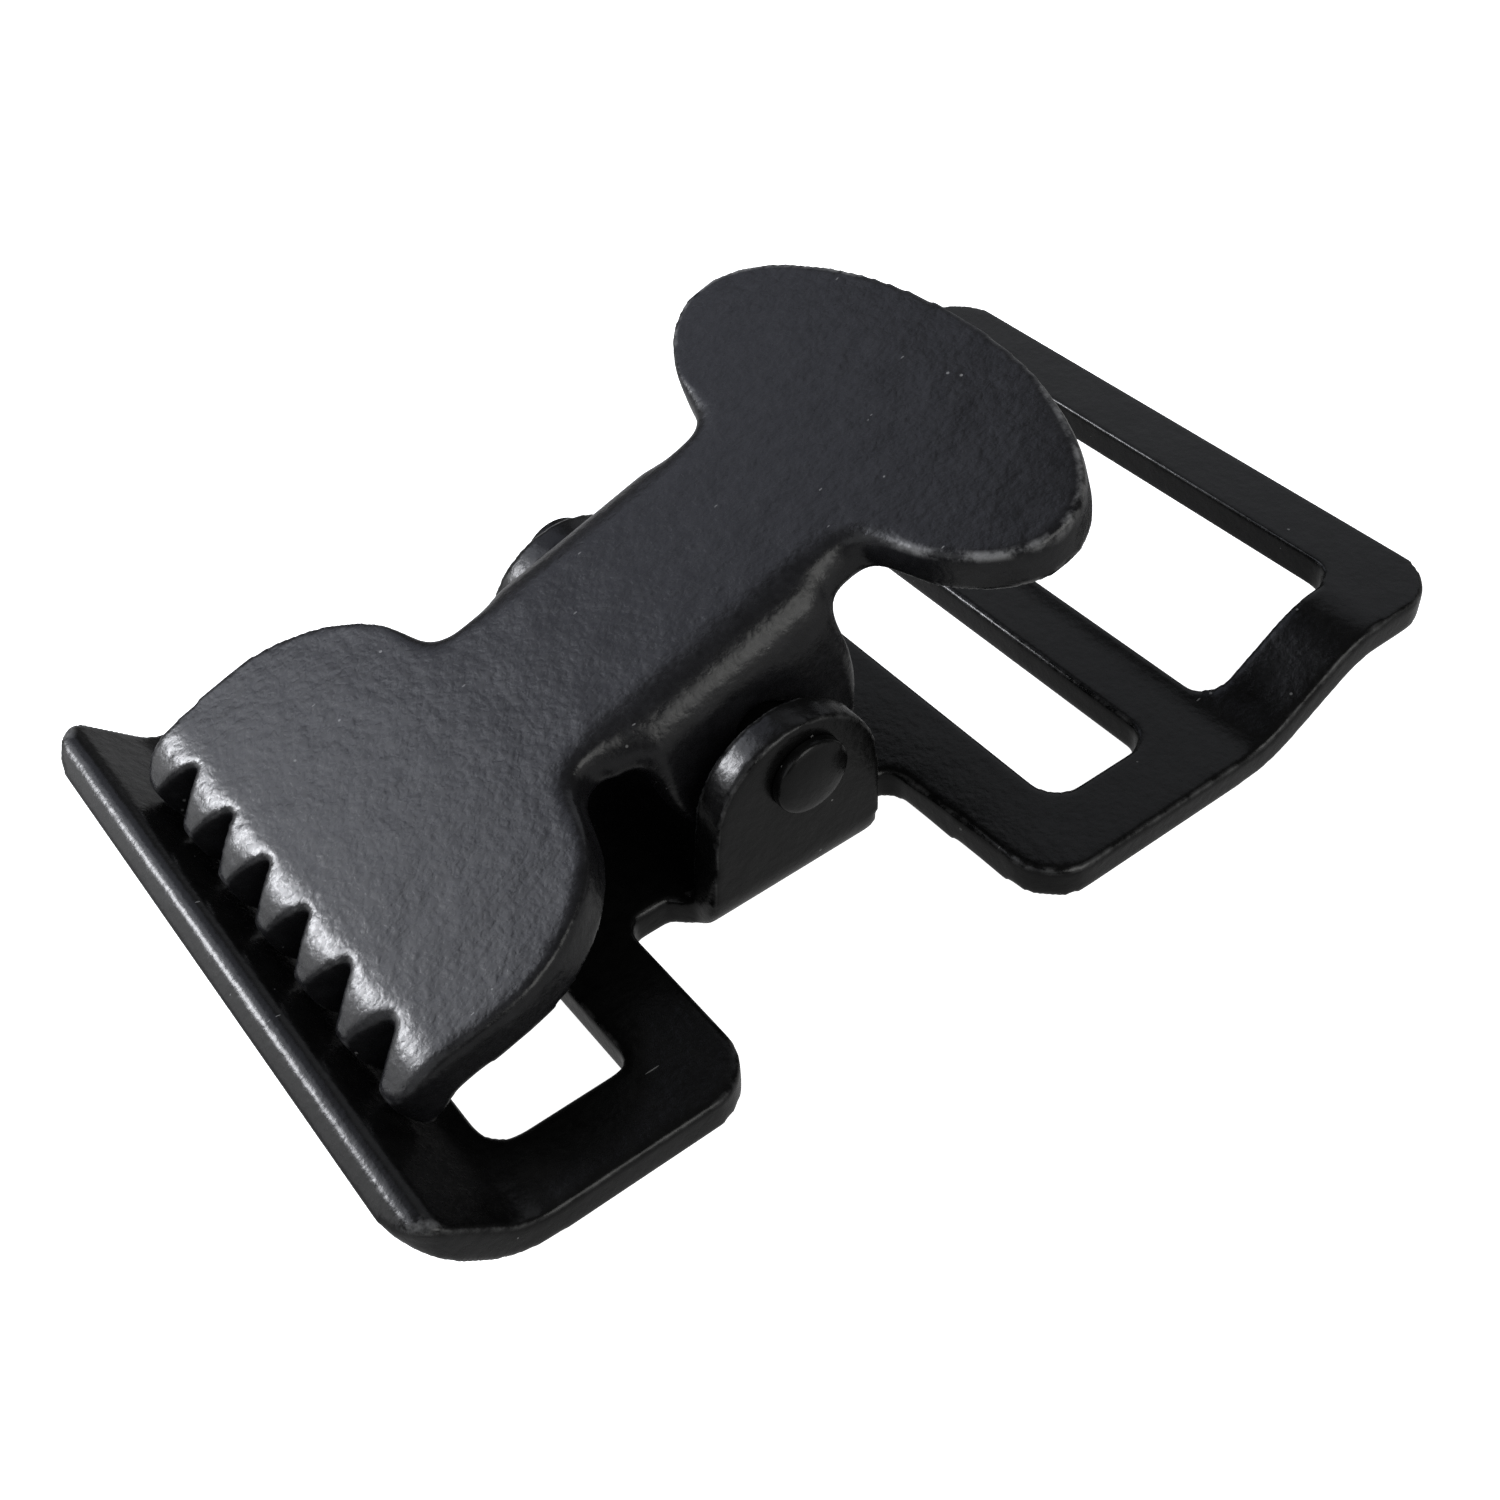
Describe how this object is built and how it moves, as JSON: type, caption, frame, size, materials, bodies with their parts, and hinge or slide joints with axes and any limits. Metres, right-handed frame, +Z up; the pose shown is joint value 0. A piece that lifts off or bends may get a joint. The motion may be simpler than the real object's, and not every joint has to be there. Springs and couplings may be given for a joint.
{
  "type": "spring buckle",
  "caption": "Sheet metal cam buckle for webbing: a frame with a raised lip and strap slots, and a sprung toothed lever with an oval thumb paddle.",
  "frame": {"origin": "centre of the frame's flat underside, straight below the pin's axis", "axes": "+X along the strap towards the slotted end, +Y across the strap along the pin, +Z up towards the lever"},
  "size_m": [0.057, 0.0346, 0.0182],
  "materials": {
    "frame": "satin black coating, worn at the edges",
    "lever": "fine pebbled black coating, worn at the edges",
    "pin": "satin black coating",
    "spring": "dark spring wire"
  },
  "bodies": {
    "frame_body": {"frame": "frame", "pin": "pin", "spring": "spring"},
    "lever_body": {"lever": "lever"}
  },
  "joints": [
    {"name": "lever_hinge", "type": "hinge", "parent": "frame_body", "child": "lever_body", "pos_m": [0, 0, 0.0075], "axis": [0, 1, 0], "range_deg": [0, 24], "stiffness_Nm_per_rad": 0.076, "springref_deg": -51.57, "deforming": ["spring"]}
  ]
}
